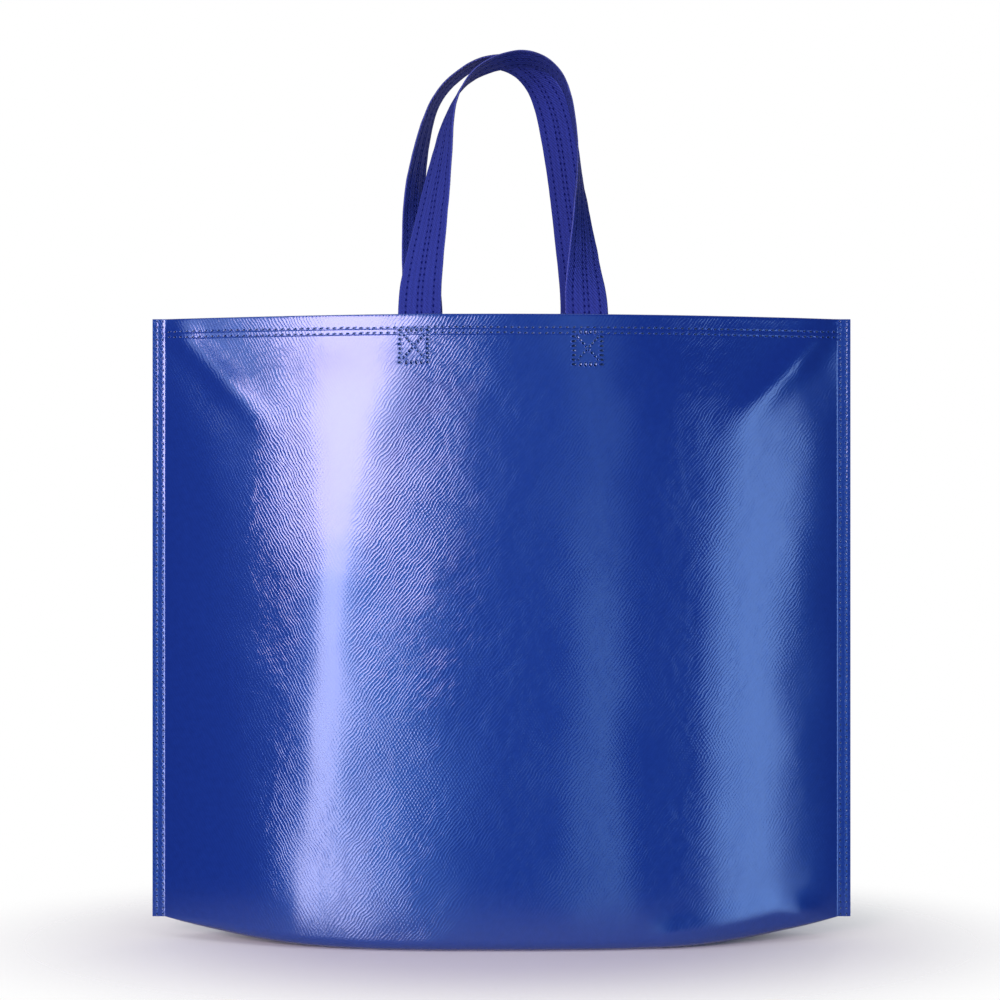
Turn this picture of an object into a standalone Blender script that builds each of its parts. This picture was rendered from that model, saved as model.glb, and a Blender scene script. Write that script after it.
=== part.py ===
# Carrier bag of film-laminated non-woven cloth, standing open with its two handles up.
# Units are metres, +Z is up, the front faces -Y and the origin lies under the middle of the base.
import math

import bmesh
import bpy
from mathutils import Vector

# Sheet and seams
SHEET = 0.0005                # one layer of laminated non-woven
SEAM_WIDTH = 0.008            # flat welded flange down each side
SEAM_THICKNESS = 0.0012       # its two layers, pressed together
HEM_DEPTH = 0.016             # turned-in second layer at the mouth
TOUCH_GAP = 0.0003            # clearance between a strap and the sheet it is welded to

# Body, as it stands
BAG_WIDTH = 0.450             # across both side seams
RIM_HEIGHT = 0.398            # mouth above the floor
SEAM_FOOT = 0.013             # cut lower end of the side seams above the floor
RIM_HALF_DEPTH = 0.0400       # mouth, front to middle
BELLY_HALF_DEPTH = 0.0465     # widest part of the panels, front to middle
CLOSING_POWER = 3             # how fast the panels close towards the mouth
SHOULDER_DROP = 0.075         # below the rim the panels grow fuller over this height
FOOT_HALF_LENGTH = 0.055      # flat spot of the base, middle to end
FOLD_RADIUS = 0.006           # soft fold between a panel and the base
FOLD_SHARE = 0.35             # the fold takes at most this much of the half depth
LEAST_FOLD = 0.00005          # inside of the fold where the panels close on each other

# Curve of the panels seen from above: a higher power is flatter in front and fuller at the seams
RIM_CURVE_POWER = 1.9
BELLY_CURVE_POWER = 2.5
SAG_CURVE_POWER = 2.6         # how the base line climbs towards the seams

# Gusset: the base is pushed up inside the bag near the seams and pinched shut at the weld lines
GUSSET_RISE = 0.036
GUSSET_FULL = 0.043           # from the weld line to where the rise is full
GUSSET_PINCH = 0.034          # from the weld line to where the pinch starts
GUSSET_SHUT = 0.005           # from the weld line to where it is shut

# Slanted soft fold that starts in each top corner
CORNER_FOLD = 0.0016
CORNER_FOLD_WIDTH = 0.009
CORNER_FOLD_START = 0.022     # it has grown to full height this far from the corner
CORNER_FOLD_FADE = 0.054      # and starts to fade here
CORNER_FOLD_END = 0.117

# Handles
STRAP_WIDTH = 0.027
STRAP_THICKNESS = 0.0011
STRAP_TAIL = 0.035            # length of each end inside the hem
LEG_SPACING = 0.105           # between the middles of a handle's two legs at the rim
FRONT_OFFSET = 0.001          # the front handle sits this far off the middle of the bag
HANDLE_RISE = 0.165           # middle of the strap above the rim, at the top of the arch
HANDLE_CLEARANCE = 0.001      # between the two straps at the top

# Mesh fineness
COLUMNS = 36
COLUMN_CROWDING_SHARE = 0.8   # 0 spaces the columns evenly, 1 crowds them most at the seams
PANEL_ROWS = 16
ROW_CROWDING_SHARE = 0.5      # the same for rows, at the hem and the fold
FOLD_STEPS = 5
SLOPE_TRIES = 12              # steps that settle the slope with which the gusset leaves the fold
BASE_STEPS = 4
STRAP_ROWS_PER_STATION = 4
STRAP_STRIPS = 4
SHARP_ANGLE = math.radians(40.0)

INNER_HALF = BAG_WIDTH / 2 - SEAM_WIDTH     # middle to the inner weld line
SEAM_HALF = SEAM_THICKNESS / 2
HANDLE_HALF_GAP = (STRAP_WIDTH + HANDLE_CLEARANCE) / 2


def smooth_step(low, high, value):
    share = min(1.0, max(0.0, (value - low) / (high - low)))
    return share * share * (3.0 - 2.0 * share)


def seam_share(x):
    # 0 in the middle of the bag, 1 at the inner weld line and beyond
    return min(1.0, abs(x) / INNER_HALF)


def base_line(x):
    # Height of the fold between panel and base: flat in the middle, climbing to the seam's foot
    start = FOOT_HALF_LENGTH / INNER_HALF
    share = max(0.0, (seam_share(x) - start) / (1.0 - start))
    return SEAM_FOOT * share ** SAG_CURVE_POWER


def corner_fold(x, z):
    # A soft ridge that runs down and inwards at 45 degrees from the top of each side seam
    inwards = INNER_HALF - abs(x)
    down = RIM_HEIGHT - z
    along = (inwards + down) / math.sqrt(2.0)
    across = (inwards - down) / math.sqrt(2.0)
    ridge = math.exp(-(across / CORNER_FOLD_WIDTH) ** 2)
    rise = smooth_step(0.0, CORNER_FOLD_START, along)
    fade = 1.0 - smooth_step(CORNER_FOLD_FADE, CORNER_FOLD_END, along)
    return CORNER_FOLD * ridge * rise * fade


def half_depth(x, z):
    # Outer face of a panel, measured from the middle plane of the bag
    share = seam_share(x)
    if share >= 1.0:
        return SEAM_HALF
    fullness = smooth_step(0.0, SHOULDER_DROP, RIM_HEIGHT - z)
    power = RIM_CURVE_POWER + (BELLY_CURVE_POWER - RIM_CURVE_POWER) * fullness
    height = max(0.0, z) / RIM_HEIGHT
    deepest = BELLY_HALF_DEPTH - (BELLY_HALF_DEPTH - RIM_HALF_DEPTH) * height ** CLOSING_POWER
    return SEAM_HALF + (deepest - SEAM_HALF) * (1.0 - share ** power) + corner_fold(x, z)


def fold_radius(x):
    return min(FOLD_RADIUS, FOLD_SHARE * half_depth(x, base_line(x)))


def gusset_rise(x):
    inwards = INNER_HALF - abs(x)
    grown = 1.0 - smooth_step(GUSSET_FULL, INNER_HALF - FOOT_HALF_LENGTH, inwards)
    return GUSSET_RISE * grown * smooth_step(GUSSET_SHUT, GUSSET_PINCH, inwards)


def eased(even, crowding):
    # A share of a run whose steps grow shorter towards both ends
    return (1.0 - crowding) * even + crowding * (0.5 - 0.5 * math.cos(math.pi * even))


def panel_heights(x):
    # Heights below the hem down to the fold, closer together at both ends
    top = RIM_HEIGHT - HEM_DEPTH
    foot = base_line(x) + fold_radius(x)
    return [top + (foot - top) * eased(row / PANEL_ROWS, ROW_CROWDING_SHARE) for row in range(PANEL_ROWS)]


def gusset_start(x, radius, centre, line):
    # Angle with which the gusset leaves the fold, and its first point. A parabola joins that point to the
    # crease in the middle plane.
    crease = line + gusset_rise(x)
    angle = 0.0
    for _ in range(SLOPE_TRIES):
        y = centre - radius * math.sin(angle)
        z = line + radius * (1.0 - math.cos(angle))
        angle = math.atan2(2.0 * (crease - z), y)
    angle = max(0.0, angle)
    return angle, centre - radius * math.sin(angle), line + radius * (1.0 - math.cos(angle))


def half_base(x, inset):
    # Fold and base of the front half as (y, z): from the foot of the panel to the middle plane
    line = base_line(x)
    radius = fold_radius(x)
    centre = half_depth(x, line + radius) - radius
    angle, start_y, start_z = gusset_start(x, radius, centre, line)
    reach = max(radius - inset, LEAST_FOLD)
    inner_centre = min(centre, half_depth(x, line + radius) - inset - reach)
    lift = line + inset + reach
    points = []
    for step in range(FOLD_STEPS + 1):
        turn = (math.pi / 2 + angle) * step / FOLD_STEPS
        points.append((-inner_centre - reach * math.cos(turn), lift - reach * math.sin(turn)))
    spread = min(start_y, inner_centre - reach * math.sin(angle))
    height = line + gusset_rise(x) - start_z
    for step in range(1, BASE_STEPS + 1):
        share = 1.0 - step / BASE_STEPS
        slope = Vector((-2.0 * height * share / start_y, 1.0)).normalized()
        y = -spread * share + inset * slope.x
        z = start_z + height * (1.0 - share * share) + inset * slope.y
        points.append((y, z))
    return points


def mirror_half(half):
    # A front half profile that ends on the middle plane, joined to its mirror image
    back = [(-y, z) for y, z in reversed(half[:-1])]
    return half + back


def outer_section(x):
    heights = [RIM_HEIGHT, RIM_HEIGHT - HEM_DEPTH / 2] + panel_heights(x)
    half = [(-half_depth(x, z), z) for z in heights]
    half += half_base(x, 0.0)
    return mirror_half(half)


def inner_depth(x, z, layers):
    # Inner face of a panel of one layer, or of two in the hem
    return max(half_depth(x, z) - layers * SHEET, SEAM_HALF - SHEET)


def inner_section(x):
    # The hem's second layer ends in a step of one sheet; the form stands out above the mouth
    hem_foot = RIM_HEIGHT - HEM_DEPTH
    half = [(-inner_depth(x, RIM_HEIGHT, 2), RIM_HEIGHT + HEM_DEPTH)]
    for z in (RIM_HEIGHT, RIM_HEIGHT - HEM_DEPTH / 2, hem_foot + SHEET):
        half.append((-inner_depth(x, z, 2), z))
    half += [(-inner_depth(x, z, 1), z) for z in panel_heights(x)]
    half += half_base(x, SHEET)
    return mirror_half(half)


def new_object(name, mesh, material, collection):
    item = bpy.data.objects.new(name, mesh)
    collection.objects.link(item)
    mesh.materials.append(material)
    return item


def loft(name, places, section, material, collection):
    # A closed form through upright sections of equal point count, one at each place along X
    shape = bmesh.new()
    rings = []
    for x in places:
        rings.append([shape.verts.new((x, y, z)) for y, z in section(x)])
    count = len(rings[0])
    for left, right in zip(rings, rings[1:]):
        for index in range(count):
            following = (index + 1) % count
            shape.faces.new((left[index], left[following], right[following], right[index]))
    shape.faces.new(rings[0])
    shape.faces.new(list(reversed(rings[-1])))
    bmesh.ops.recalc_face_normals(shape, faces=shape.faces)
    mesh = bpy.data.meshes.new(name)
    shape.to_mesh(mesh)
    shape.free()
    return new_object(name, mesh, material, collection)


def column_places():
    # Places along X inside the weld lines, closer together towards the seams
    shares = [eased(column / COLUMNS, COLUMN_CROWDING_SHARE) for column in range(COLUMNS + 1)]
    return [INNER_HALF * (2.0 * share - 1.0) for share in shares]


def make_bag_body(material, collection, cutters):
    inside_places = column_places()
    outside_places = [-BAG_WIDTH / 2] + inside_places + [BAG_WIDTH / 2]
    body = loft("bag_body", outside_places, outer_section, material, collection)
    inside = loft("inside_form", inside_places, inner_section, material, cutters)
    inside.hide_render = True
    inside.display_type = 'WIRE'
    hollow = body.modifiers.new("hollow", 'BOOLEAN')
    hollow.operation = 'DIFFERENCE'
    hollow.object = inside
    body.data.shade_smooth()
    body.data.set_sharp_from_angle(angle=SHARP_ANGLE)
    return body


# Route of a strap from its left leg to its right leg. Each station holds its place across in half leg
# spacings, its lean from the depth at the rim (0) to that at the top (1), its height in handle rises, and
# the turn of the strap in degrees, 0 where its face lies in the plane of the panel.
FRONT_ROUTE = (
    (-0.990, 0.02, 0.084, 8.0),
    (-0.969, 0.05, 0.154, 20.0),
    (-0.872, 0.22, 0.349, 38.0),
    (-0.777, 0.48, 0.535, 52.0),
    (-0.698, 0.74, 0.713, 67.0),
    (-0.612, 0.88, 0.830, 88.0),
    (-0.402, 1.00, 0.928, 96.0),
    (-0.128, 1.00, 0.981, 98.0),
    (0.194, 1.00, 1.000, 98.0),
    (0.420, 1.00, 0.990, 97.0),
    (0.640, 1.00, 0.945, 94.0),
    (0.803, 0.97, 0.864, 92.0),
    (0.903, 0.74, 0.644, 90.0),
    (0.925, 0.52, 0.493, 78.0),
    (0.954, 0.34, 0.360, 61.0),
    (0.968, 0.14, 0.176, 36.0),
    (0.985, 0.04, 0.090, 16.0),
)
BACK_ROUTE = (
    (-1.005, 0.04, 0.090, 10.0),
    (-1.020, 0.13, 0.196, 28.0),
    (-1.092, 0.30, 0.381, 52.0),
    (-1.092, 0.48, 0.513, 63.0),
    (-1.045, 0.61, 0.623, 70.0),
    (-0.907, 0.83, 0.827, 81.0),
    (-0.743, 0.96, 0.922, 86.0),
    (-0.390, 1.00, 1.010, 89.0),
    (-0.190, 1.00, 1.026, 88.0),
    (0.020, 1.00, 1.018, 75.0),
    (0.204, 1.00, 1.008, 66.0),
    (0.435, 1.00, 0.957, 50.0),
    (0.605, 0.95, 0.872, 33.0),
    (0.709, 0.88, 0.759, 30.0),
    (0.803, 0.60, 0.551, 37.0),
    (0.881, 0.36, 0.372, 30.0),
    (0.973, 0.15, 0.200, 13.0),
    (1.000, 0.05, 0.090, 4.0),
)


def seat_row(middle, z, side):
    # Points across a strap end that lies against the inner face of the hem; side is -1 at the front
    row = []
    for strip in range(STRAP_STRIPS + 1):
        x = middle + STRAP_WIDTH * (strip / STRAP_STRIPS - 0.5)
        panel = min(half_depth(x, RIM_HEIGHT), half_depth(x, z))
        depth = panel - 2 * SHEET - TOUCH_GAP - STRAP_THICKNESS / 2
        row.append(Vector((x, side * depth, z)))
    return row


def route_centres(route, side, offset):
    centres = []
    rim_depth = abs(seat_row(LEG_SPACING / 2, RIM_HEIGHT, side)[STRAP_STRIPS // 2].y)
    for across, lean, height, turn in route:
        depth = rim_depth + (HANDLE_HALF_GAP - rim_depth) * lean
        x = offset + across * LEG_SPACING / 2
        centres.append(Vector((x, side * depth, RIM_HEIGHT + height * HANDLE_RISE)))
    return centres


def free_rows(route, side, offset):
    # Points across the strap at each station, turned about its run; the outer edge of the loop comes last
    centres = route_centres(route, side, offset)
    last = len(centres) - 1
    rows = []
    for index, station in enumerate(route):
        run = centres[min(last, index + 1)] - centres[max(0, index - 1)]
        outwards = Vector((-run.z, 0.0, run.x)).normalized()
        turn = math.radians(station[3])
        across = outwards * math.cos(turn) - Vector((0.0, side, 0.0)) * math.sin(turn)
        row = []
        for strip in range(STRAP_STRIPS + 1):
            row.append(centres[index] + across * STRAP_WIDTH * (strip / STRAP_STRIPS - 0.5))
        rows.append(row)
    return rows


def between(before, start, end, after, share):
    # Catmull-Rom curve from start to end
    square = share * share
    cube = square * share
    return 0.5 * (2.0 * start + (end - before) * share
                  + (2.0 * before - 5.0 * start + 4.0 * end - after) * square
                  + (3.0 * start - before - 3.0 * end + after) * cube)


def smooth_rows(rows):
    # Rows of points that pass smoothly through the given rows
    last = len(rows) - 1
    fine = []
    for index in range(last):
        for step in range(STRAP_ROWS_PER_STATION):
            share = step / STRAP_ROWS_PER_STATION
            around = (rows[max(0, index - 1)], rows[index], rows[index + 1], rows[min(last, index + 2)])
            fine.append([between(*points, share) for points in zip(*around)])
    fine.append(rows[last])
    return fine


def make_strap(name, route, side, offset, material, collection):
    # Each row of points runs from the inner edge of the loop to its outer edge
    tail_heights = [RIM_HEIGHT - STRAP_TAIL, RIM_HEIGHT - STRAP_TAIL / 2, RIM_HEIGHT]
    left = [list(reversed(seat_row(offset - LEG_SPACING / 2, z, side))) for z in tail_heights]
    right = [seat_row(offset + LEG_SPACING / 2, z, side) for z in reversed(tail_heights)]
    rows = smooth_rows(left + free_rows(route, side, offset) + right)
    shape = bmesh.new()
    grid = [[shape.verts.new(point) for point in row] for row in rows]
    for lower, upper in zip(grid, grid[1:]):
        for strip in range(STRAP_STRIPS):
            shape.faces.new((lower[strip], lower[strip + 1], upper[strip + 1], upper[strip]))
    mesh = bpy.data.meshes.new(name)
    shape.to_mesh(mesh)
    shape.free()
    strap = new_object(name, mesh, material, collection)
    cloth = strap.modifiers.new("cloth", 'SOLIDIFY')
    cloth.thickness = STRAP_THICKNESS
    cloth.offset = 0.0
    mesh.shade_smooth()
    mesh.set_sharp_from_angle(angle=SHARP_ANGLE)
    return strap


def principled(name, color, roughness, metallic=0.0):
    material = bpy.data.materials.new(name)
    material.use_nodes = True
    shader = material.node_tree.nodes["Principled BSDF"]
    shader.inputs["Base Color"].default_value = (*color, 1.0)
    shader.inputs["Roughness"].default_value = roughness
    shader.inputs["Metallic"].default_value = metallic
    material.diffuse_color = (*color, 1.0)
    return material


def laminated_sheet():
    return principled("laminated_sheet", (0.020, 0.070, 0.330), 0.28)


def strap_cloth():
    return principled("strap_cloth", (0.035, 0.040, 0.260), 0.85)


def main():
    for item in list(bpy.data.objects):
        bpy.data.objects.remove(item, do_unlink=True)
    bag = bpy.data.collections.new("non_woven_bag")
    cutters = bpy.data.collections.new("cutters")
    bpy.context.scene.collection.children.link(bag)
    bpy.context.scene.collection.children.link(cutters)
    make_bag_body(laminated_sheet(), bag, cutters)
    cloth = strap_cloth()
    make_strap("front_handle", FRONT_ROUTE, -1, FRONT_OFFSET, cloth, bag)
    make_strap("back_handle", BACK_ROUTE, 1, 0.0, cloth, bag)


main()
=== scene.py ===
import math

import bmesh
import bpy
import numpy as np
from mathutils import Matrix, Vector


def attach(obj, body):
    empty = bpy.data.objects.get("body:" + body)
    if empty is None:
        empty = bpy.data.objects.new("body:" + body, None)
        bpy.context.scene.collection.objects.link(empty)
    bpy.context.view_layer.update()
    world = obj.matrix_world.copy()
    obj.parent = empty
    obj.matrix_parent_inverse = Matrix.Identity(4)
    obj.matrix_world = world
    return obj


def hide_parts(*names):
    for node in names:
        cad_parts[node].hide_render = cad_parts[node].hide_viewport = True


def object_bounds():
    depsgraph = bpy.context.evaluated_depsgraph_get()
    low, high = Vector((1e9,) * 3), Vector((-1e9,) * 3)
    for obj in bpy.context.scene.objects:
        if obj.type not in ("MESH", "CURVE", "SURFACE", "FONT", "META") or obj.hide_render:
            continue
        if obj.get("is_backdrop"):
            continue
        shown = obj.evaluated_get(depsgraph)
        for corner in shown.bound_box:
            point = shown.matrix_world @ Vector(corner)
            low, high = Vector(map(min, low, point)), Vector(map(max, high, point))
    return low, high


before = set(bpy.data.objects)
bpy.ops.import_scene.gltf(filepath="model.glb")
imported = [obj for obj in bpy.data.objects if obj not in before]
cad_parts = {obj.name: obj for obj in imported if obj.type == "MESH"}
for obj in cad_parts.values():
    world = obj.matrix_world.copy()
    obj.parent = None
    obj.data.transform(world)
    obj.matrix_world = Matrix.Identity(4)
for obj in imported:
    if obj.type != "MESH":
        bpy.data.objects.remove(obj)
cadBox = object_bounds()
print("frame loaded:", ", ".join(sorted(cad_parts)))


def linearColour(code):
    # sRGB hex to linear RGBA
    shares = [int(code[place:place + 2], 16) / 255.0 for place in (0, 2, 4)]
    linear = [s / 12.92 if s <= 0.04045 else ((s + 0.055) / 1.055) ** 2.4 for s in shares]
    return (linear[0], linear[1], linear[2], 1.0)


def addNode(tree, kind, inputs=(), **settings):
    # inputs are sockets to link from or plain values, by name or in their order; gives the node's outputs
    node = tree.nodes.new(kind)
    for name, value in settings.items():
        setattr(node, name, value)
    for key, value in inputs.items() if isinstance(inputs, dict) else enumerate(inputs):
        if isinstance(value, bpy.types.NodeSocket):
            tree.links.new(value, node.inputs[key])
        else:
            node.inputs[key].default_value = value
    return node.outputs


def smoothStep(low, high, value):
    share = np.clip((np.asarray(value, float) - low) / (high - low), 0.0, 1.0)
    return share * share * (3.0 - 2.0 * share)


def softNoise(x, z, size, seed):
    # smooth random hills of about this size, from -1 to 1
    cells, offset = 64, 20.0                      # the offset only moves the pattern
    table = np.random.default_rng(seed).uniform(-1.0, 1.0, (cells, cells))
    across, up = np.asarray(x, float) / size + offset, np.asarray(z, float) / size + offset
    col, row = np.floor(across).astype(int), np.floor(up).astype(int)
    a, b = across - col, up - row
    a, b = a * a * (3.0 - 2.0 * a), b * b * (3.0 - 2.0 * b)
    corner = lambda i, j: table[(col + i) % cells, (row + j) % cells]
    low = corner(0, 0) * (1.0 - a) + corner(1, 0) * a
    high = corner(0, 1) * (1.0 - a) + corner(1, 1) * a
    return low * (1.0 - b) + high * b


def newObject(name, data, materials=()):
    item = bpy.data.objects.new(name, data)
    bpy.context.scene.collection.objects.link(item)
    for material in materials:
        data.materials.append(material)
    return item


def gridQuads(ids):
    # faces of a grid of vertex numbers
    quads = np.stack([ids[:-1, :-1], ids[1:, :-1], ids[1:, 1:], ids[:-1, 1:]], axis=-1)
    return quads.reshape(-1, 4)


def gridNormals(grid):
    normal = np.cross(np.gradient(grid, axis=0), np.gradient(grid, axis=1))
    return normal / np.maximum(np.linalg.norm(normal, axis=2, keepdims=True), 1e-12)


def layCut(mesh, cut):
    # where each point lies on the flat cut cloth, in metres
    uv = mesh.uv_layers.new(name="cut")
    corners = np.zeros(len(mesh.loops), np.int32)
    mesh.loops.foreach_get("vertex_index", corners)
    uv.data.foreach_set("uv", np.array(cut, float)[corners].ravel())


def layValues(mesh, name, values):
    layer = mesh.attributes.new(name, 'FLOAT', 'POINT')
    layer.data.foreach_set("value", np.array(values, np.float32))


def closeShape(mesh, label):
    # turns all faces of a closed mesh outwards and reports what it measures
    shape = bmesh.new()
    shape.from_mesh(mesh)
    bmesh.ops.recalc_face_normals(shape, faces=shape.faces)
    volume = shape.calc_volume(signed=True)
    if volume < 0:
        bmesh.ops.reverse_faces(shape, faces=shape.faces)
    loose = sum(1 for edge in shape.edges if not edge.is_manifold)
    shape.to_mesh(mesh)
    shape.free()
    print(label + ":", len(mesh.polygons), "faces,", loose, "open edges,", round(abs(volume) * 1e6, 1), "cubic cm")


# The bag's shape, as the solid has it, in metres
bagShape = {
    "width": 0.450,
    "rimHeight": 0.398,
    "seamFoot": 0.013,            # cut end of the side seams above the floor
    "seamWidth": 0.008,
    "seamHalf": 0.0006,           # half of the two pressed layers
    "rimHalfDepth": 0.0400,
    "bellyHalfDepth": 0.0465,
    "closingPower": 3,            # how late the belly closes towards the mouth
    "shoulderDrop": 0.075,        # below the rim, where the section has filled out
    "rimPower": 1.9,              # squareness of the section at the rim, and below the shoulder
    "bellyPower": 2.5,
    "footHalfLength": 0.055,      # half of the part of the base that lies on the floor
    "sagPower": 2.6,              # how late the base line climbs to the seams
    "foldRadius": 0.006,          # fold at the foot of a panel, and its most as a share of the depth there
    "foldShare": 0.35,
    "gussetRise": 0.036,
    "gussetFull": 0.043,          # from the weld line: the gusset is highest, is pinched and is shut
    "gussetPinch": 0.034,
    "gussetShut": 0.005,
    "cornerFold": 0.0016,         # crease from each upper corner: its rise, its width, where it grows and fades
    "cornerFoldWidth": 0.009,
    "cornerFoldGrows": (0.0, 0.022),
    "cornerFoldFades": (0.054, 0.117),
    "slack": ((0.0005, 0.055, 5), (0.00016, 0.021, 9)),     # soft hills of the loose cloth: rise, size, seed
    "slackGrows": (0.002, 0.030), # from the weld line inwards
    "sheet": 0.0005,              # one layer of laminated non-woven
    "hemDepth": 0.016,
}
innerHalf = bagShape["width"] / 2 - bagShape["seamWidth"]
rimHeight = bagShape["rimHeight"]

# Soft folds of the slack cloth: where each runs (x, z), how far it stands out and how wide it is, in mm
frontFolds = [
    {"path": [(-60, 395), (-84, 330), (-106, 250), (-114, 150), (-131, 60), (-140, 25)], "rise": 1.3, "width": 31},
    {"path": [(60, 380), (62, 250), (68, 120), (88, 25)], "rise": 0.6, "width": 26},
    {"path": [(214, 392), (150, 334), (130, 250), (126, 120), (128, 20)], "rise": 1.1, "width": 21},
    {"path": [(216, 16), (176, 22), (104, 8)], "rise": 1.6, "width": 9},
]
backFolds = [
    {"path": [(62, 395), (78, 320), (90, 200), (84, 60)], "rise": 1.4, "width": 26},
    {"path": [(-58, 380), (-60, 240), (-70, 110), (-96, 25)], "rise": 1.2, "width": 22},
    {"path": [(-214, 392), (-150, 330), (-132, 240), (-126, 110)], "rise": 1.8, "width": 17},
    {"path": [(214, 392), (168, 346)], "rise": 1.2, "width": 11},
]


def foldRelief(x, z, folds):
    total = np.zeros(np.broadcast(x, z).shape)
    for fold in folds:
        nearest = np.full(total.shape, 1e9)
        for (x0, z0), (x1, z1) in zip(fold["path"], fold["path"][1:]):
            runX, runZ = (x1 - x0) / 1000.0, (z1 - z0) / 1000.0
            offX, offZ = x - x0 / 1000.0, z - z0 / 1000.0
            share = np.clip((offX * runX + offZ * runZ) / (runX * runX + runZ * runZ), 0.0, 1.0)
            nearest = np.minimum(nearest, np.hypot(offX - share * runX, offZ - share * runZ))
        total += fold["rise"] / 1000.0 * np.exp(-(nearest / (fold["width"] / 1000.0)) ** 2)
    return total


def baseLine(x):
    start = bagShape["footHalfLength"] / innerHalf
    share = np.clip((np.minimum(1.0, np.abs(x) / innerHalf) - start) / (1.0 - start), 0.0, 1.0)
    return bagShape["seamFoot"] * share ** bagShape["sagPower"]


def panelDepth(x, z, side):
    # outer face of a panel from the middle plane; side is -1 in front and 1 behind
    x, z = np.broadcast_arrays(np.asarray(x, float), np.asarray(z, float))
    share = np.minimum(1.0, np.abs(x) / innerHalf)
    fullness = smoothStep(0.0, bagShape["shoulderDrop"], rimHeight - z)
    power = bagShape["rimPower"] + (bagShape["bellyPower"] - bagShape["rimPower"]) * fullness
    height = np.maximum(0.0, z) / rimHeight
    belly, rim = bagShape["bellyHalfDepth"], bagShape["rimHalfDepth"]
    deepest = belly - (belly - rim) * height ** bagShape["closingPower"]
    seamHalf = bagShape["seamHalf"]
    depth = seamHalf + (deepest - seamHalf) * (1.0 - share ** power)
    inwards, down = innerHalf - np.abs(x), rimHeight - z
    along, across = (inwards + down) / math.sqrt(2.0), (inwards - down) / math.sqrt(2.0)
    ridge = np.exp(-(across / bagShape["cornerFoldWidth"]) ** 2)
    ridge = ridge * smoothStep(*bagShape["cornerFoldGrows"], along)
    ridge = ridge * (1.0 - smoothStep(*bagShape["cornerFoldFades"], along))
    relief = foldRelief(x, z, frontFolds if side < 0 else backFolds)
    for rise, size, seed in bagShape["slack"]:
        relief = relief + rise * softNoise(x, z, size, seed + side)
    relief = relief * smoothStep(*bagShape["slackGrows"], inwards)
    return np.where(share >= 1.0, seamHalf, depth + bagShape["cornerFold"] * ridge + relief)


def gussetRise(x):
    inwards = innerHalf - np.abs(x)
    grown = 1.0 - smoothStep(bagShape["gussetFull"], innerHalf - bagShape["footHalfLength"], inwards)
    return bagShape["gussetRise"] * grown * smoothStep(bagShape["gussetShut"], bagShape["gussetPinch"], inwards)


bodyValues = {
    "columns": 150,               # across, between the weld lines
    "flangeColumns": (0.0, 0.0027, 0.0054),       # outside them, from the cut edge
    "panelRows": 104,
    "foldSteps": 6,
    "baseSteps": 9,
    "rimSteps": 5,
    "crowding": 0.55,             # columns and rows crowd towards seams, hem and fold
    "shut": 0.0001,               # half gap between the inner faces where the sheet is welded shut
    "innerLift": 0.8,             # least height of the inner face over the base line, in sheets
    "settling": 12,               # rounds that find the slope with which the gusset leaves the fold
    "sharpAngle": 50.0,
}

# Fine wrinkles of the film: the side of the split they are on gives their lean, and "crush" their strength
wrinkleValues = {
    "frontSplit": -0.104, "backSplit": 0.095,
    "splitHalf": 0.012, "splitWander": (0.014, 0.04, 3),          # reach, size, seed
    "crossed": (0.018, 15), "crossedEdge": (-0.1, 0.5),           # patches where both leans cross: size, seed
    "crossedBelow": (0.36, 0.28), "crossedFrom": (-0.105, -0.075), "crossedShare": 0.9, "crossedGain": 0.30,
    "places": (-0.217, -0.165, -0.135, -0.070, -0.030, 0.000, 0.030, 0.090, 0.128, 0.155, 0.217),
    "front": (0.30, 0.45, 0.92, 0.85, 0.66, 0.50, 0.35, 0.40, 0.90, 0.45, 0.30),
    "back": 0.6,
    "evenShare": 0.79, "patches": ((0.20, 0.045, 12), (0.08, 0.016, 13)),     # share, size, seed
    # the tight stretch under the brightest band is smoother: its middle and its half width, up the panel
    "coreHeights": (0.0, 0.10, 0.25, 0.33, 0.40), "core": (-0.136, -0.118, -0.106, -0.095, -0.085),
    "calmHeights": (0.0, 0.25, 0.32, 0.36), "calm": (0.016, 0.014, 0.030, 0.045),
    "backCore": 0.090, "calmShare": 0.8,
    "handle": (-0.045, 0.04, 0.10), "handleGain": 0.25,           # puckers at the left handle: x, reach, drop
    "most": 1.3,
}


def eased(count, crowding):
    even = np.linspace(0.0, 1.0, count + 1)
    return (1.0 - crowding) * even + crowding * (0.5 - 0.5 * np.cos(math.pi * even))


def halfProfile(x, side):
    # one column's outer face, as (depth, height) from the rim to the middle of the base
    line = float(baseLine(x))
    foldRadius = min(bagShape["foldRadius"], bagShape["foldShare"] * float(panelDepth(x, line, side)))
    foot = line + foldRadius
    top = rimHeight - bagShape["sheet"]
    heights = top + (foot - top) * eased(bodyValues["panelRows"], bodyValues["crowding"])
    points = list(zip(panelDepth(x, heights, side), heights))
    centre = points[-1][0] - foldRadius
    crease = line + float(gussetRise(x))
    angle = 0.0
    for _ in range(bodyValues["settling"]):
        startY = centre - foldRadius * math.sin(angle)
        startZ = line + foldRadius * (1.0 - math.cos(angle))
        angle = max(0.0, math.atan2(2.0 * (crease - startZ), startY))
    for step in range(1, bodyValues["foldSteps"] + 1):
        turn = (math.pi / 2 + angle) * step / bodyValues["foldSteps"]
        points.append((centre + foldRadius * math.cos(turn), foot - foldRadius * math.sin(turn)))
    startY, startZ = points[-1]
    for step in range(1, bodyValues["baseSteps"] + 1):
        share = 1.0 - step / bodyValues["baseSteps"]
        points.append((startY * share, startZ + (crease - startZ) * (1.0 - share * share)))
    return points


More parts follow.
